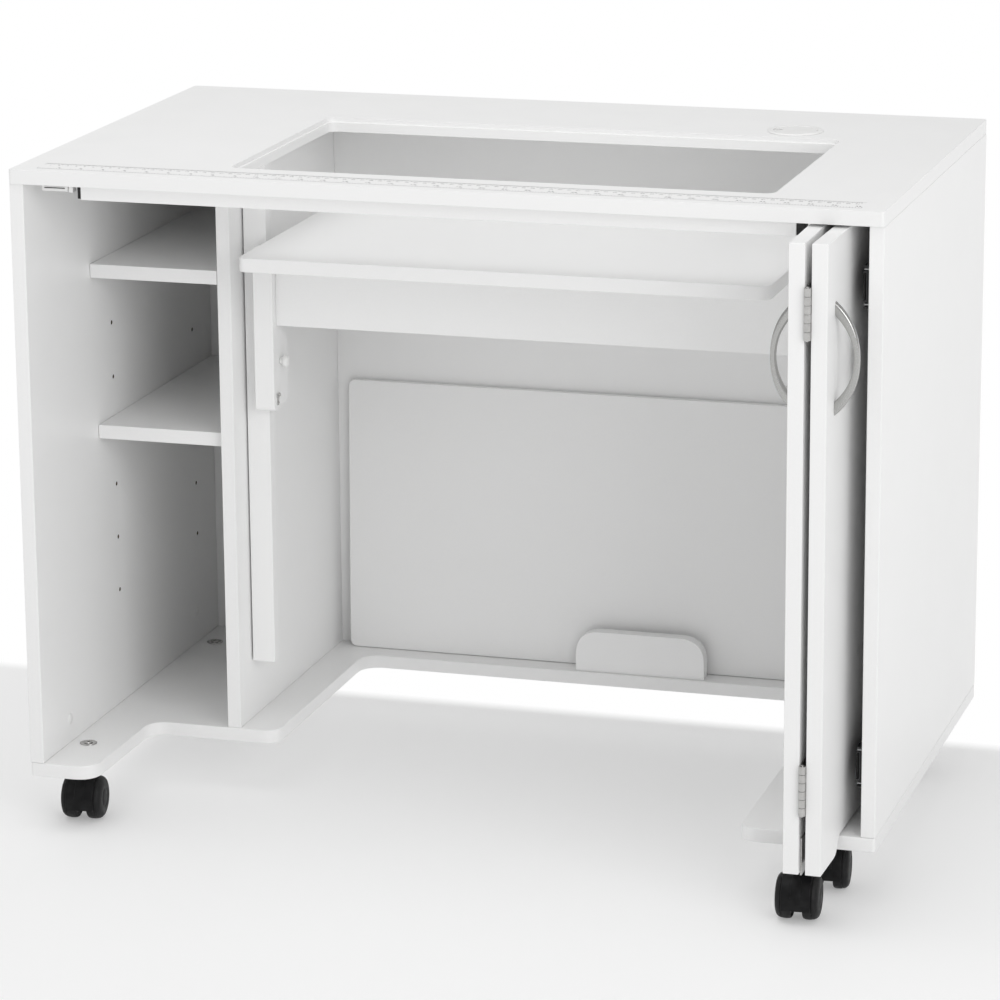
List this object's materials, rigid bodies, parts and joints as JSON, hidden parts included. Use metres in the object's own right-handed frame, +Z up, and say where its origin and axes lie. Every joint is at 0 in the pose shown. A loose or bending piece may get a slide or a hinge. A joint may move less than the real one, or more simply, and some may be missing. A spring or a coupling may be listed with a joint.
{
  "type": "sewing table",
  "caption": "White sewing table on casters with a machine opening, a height-adjustable platform, open shelves and a folding door stowed in a side pocket.",
  "frame": {"origin": "on the floor, under the middle of the table's bounding box with the folding door stowed in its pocket", "axes": "+X to the right seen from the front (the table's longest side), -Y to the front where the sitter's knees go, +Z up"},
  "size_m": [0.97, 0.6692, 0.763],
  "materials": {
    "melamine": "white melamine-faced board with matching edge band, satin",
    "satin_nickel": "satin nickel plating",
    "nickel": "bright nickel-plated steel",
    "zinc_steel": "zinc-plated pressed steel",
    "white_plastic": "moulded, semi-gloss",
    "black_plastic": "moulded nylon, fine grain"
  },
  "bodies": {
    "cabinet": {"worktop": "melamine", "left_side_panel": "melamine", "right_side_panel": "melamine", "left_divider": "melamine", "right_divider": "melamine", "back_panel": "melamine", "knee_back_board": "melamine", "bottom_panel": "melamine", "front_rail": "melamine", "rail_buffer_left": "black_plastic", "rail_buffer_right": "black_plastic", "magnet_catch": "zinc_steel", "upper_shelf": "melamine", "lower_shelf": "melamine", "shelf_pin_1": "nickel", "shelf_pin_2": "nickel", "shelf_pin_3": "nickel", "shelf_pin_4": "nickel", "insert_stop": "melamine", "lift_post_left": "melamine", "lift_post_right": "melamine", "grommet_ring": "white_plastic", "caster_nut_1": "nickel", "caster_nut_2": "nickel", "caster_nut_3": "nickel", "caster_nut_4": "nickel", "slide_outer_lower": "zinc_steel", "slide_outer_upper": "zinc_steel"},
    "insert": {"insert_board": "melamine"},
    "grommet_lid": {"grommet_cap": "white_plastic"},
    "lift": {"lift_platform": "melamine", "lift_cross_plate": "melamine", "lift_carriage_left": "melamine", "lift_carriage_right": "melamine"},
    "left_latch": {"latch_knob_left": "white_plastic"},
    "right_latch": {"latch_knob_right": "white_plastic"},
    "slide_middles": {"slide_middle_lower": "zinc_steel", "slide_middle_upper": "zinc_steel"},
    "door_carrier": {"slide_inner_lower": "zinc_steel", "slide_inner_upper": "zinc_steel", "pocket_carrier": "zinc_steel"},
    "right_door_leaf": {"right_leaf": "melamine", "right_handle": "satin_nickel", "fold_hinge_lower_right": "nickel", "fold_hinge_upper_right": "nickel"},
    "left_door_leaf": {"left_leaf": "melamine", "left_handle": "satin_nickel", "fold_hinge_lower_left": "nickel", "fold_hinge_upper_left": "nickel", "door_caster_bracket": "nickel"},
    "front_left_caster": {"front_left_caster_body": "black_plastic"},
    "front_left_wheels": {"front_left_caster_wheels": "black_plastic"},
    "front_right_caster": {"front_right_caster_body": "black_plastic"},
    "front_right_wheels": {"front_right_caster_wheels": "black_plastic"},
    "rear_left_caster": {"rear_left_caster_body": "black_plastic"},
    "rear_left_wheels": {"rear_left_caster_wheels": "black_plastic"},
    "rear_right_caster": {"rear_right_caster_body": "black_plastic"},
    "rear_right_wheels": {"rear_right_caster_wheels": "black_plastic"},
    "door_caster": {"door_caster_body": "black_plastic"},
    "door_wheels": {"door_caster_wheels": "black_plastic"}
  },
  "joints": [
    {"name": "lift_height", "type": "slide", "parent": "cabinet", "child": "lift", "axis": [0, 0, 1], "range_m": [-0.25, 0.1]},
    {"name": "left_latch_pull", "type": "slide", "parent": "lift", "child": "left_latch", "axis": [1, 0, 0], "range_m": [0, 0.008], "stiffness_N_per_m": 600, "springref_m": -0.004},
    {"name": "right_latch_pull", "type": "slide", "parent": "lift", "child": "right_latch", "axis": [-1, 0, 0], "range_m": [0, 0.008], "stiffness_N_per_m": 600, "springref_m": -0.004},
    {"name": "insert_lift_out", "type": "slide", "parent": "cabinet", "child": "insert", "axis": [0, 0, 1], "range_m": [0, 0.3]},
    {"name": "grommet_cap_turn", "type": "hinge", "parent": "cabinet", "child": "grommet_lid", "pos_m": [0.29, 0.20162, 0.761], "axis": [0, 0, 1], "continuous": true},
    {"name": "door_pull", "type": "slide", "parent": "cabinet", "child": "door_carrier", "axis": [0, -1, 0], "range_m": [0, 0.34]},
    {"name": "slide_middle_travel", "type": "slide", "parent": "cabinet", "child": "slide_middles", "axis": [0, -1, 0], "range_m": [0, 0.17]},
    {"name": "door_swing", "type": "hinge", "parent": "door_carrier", "child": "right_door_leaf", "pos_m": [0.448, 0.14563, 0.414], "axis": [0, 0, 1], "range_deg": [-0.5, 0.5]},
    {"name": "leaf_fold", "type": "hinge", "parent": "right_door_leaf", "child": "left_door_leaf", "pos_m": [0.425, -0.33087, 0.414], "axis": [0, 0, 1], "range_deg": [-1.4, 0.15]},
    {"name": "front_left_caster_swivel", "type": "hinge", "parent": "cabinet", "child": "front_left_caster", "pos_m": [-0.4485, -0.15737, 0.046], "axis": [0, 0, 1], "continuous": true},
    {"name": "front_left_wheel_roll", "type": "hinge", "parent": "front_left_caster", "child": "front_left_wheels", "pos_m": [-0.44641, -0.17727, 0.025], "axis": [0.9945, 0.1045, 0], "continuous": true},
    {"name": "front_right_caster_swivel", "type": "hinge", "parent": "cabinet", "child": "front_right_caster", "pos_m": [0.4195, -0.15737, 0.046], "axis": [0, 0, 1], "continuous": true},
    {"name": "front_right_wheel_roll", "type": "hinge", "parent": "front_right_caster", "child": "front_right_wheels", "pos_m": [0.42159, -0.17727, 0.025], "axis": [0.9945, 0.1045, 0], "continuous": true},
    {"name": "rear_left_caster_swivel", "type": "hinge", "parent": "cabinet", "child": "rear_left_caster", "pos_m": [-0.4485, 0.25762, 0.046], "axis": [0, 0, 1], "continuous": true},
    {"name": "rear_left_wheel_roll", "type": "hinge", "parent": "rear_left_caster", "child": "rear_left_wheels", "pos_m": [-0.44572, 0.23782, 0.025], "axis": [0.9903, 0.1392, 0], "continuous": true},
    {"name": "rear_right_caster_swivel", "type": "hinge", "parent": "cabinet", "child": "rear_right_caster", "pos_m": [0.4195, 0.25762, 0.046], "axis": [0, 0, 1], "continuous": true},
    {"name": "rear_right_wheel_roll", "type": "hinge", "parent": "rear_right_caster", "child": "rear_right_wheels", "pos_m": [0.41672, 0.23782, 0.025], "axis": [0.9903, -0.1392, 0], "continuous": true},
    {"name": "door_caster_swivel", "type": "hinge", "parent": "left_door_leaf", "child": "door_caster", "pos_m": [0.41038, -0.2595, 0.046], "axis": [0, 0, 1], "continuous": true},
    {"name": "door_wheel_roll", "type": "hinge", "parent": "door_caster", "child": "door_wheels", "pos_m": [0.4116, -0.27946, 0.025], "axis": [0.9981, 0.061, 0], "continuous": true}
  ],
  "couplings": [
    {"joint": "slide_middle_travel", "follows": "door_pull", "ratio": 0.5}
  ]
}
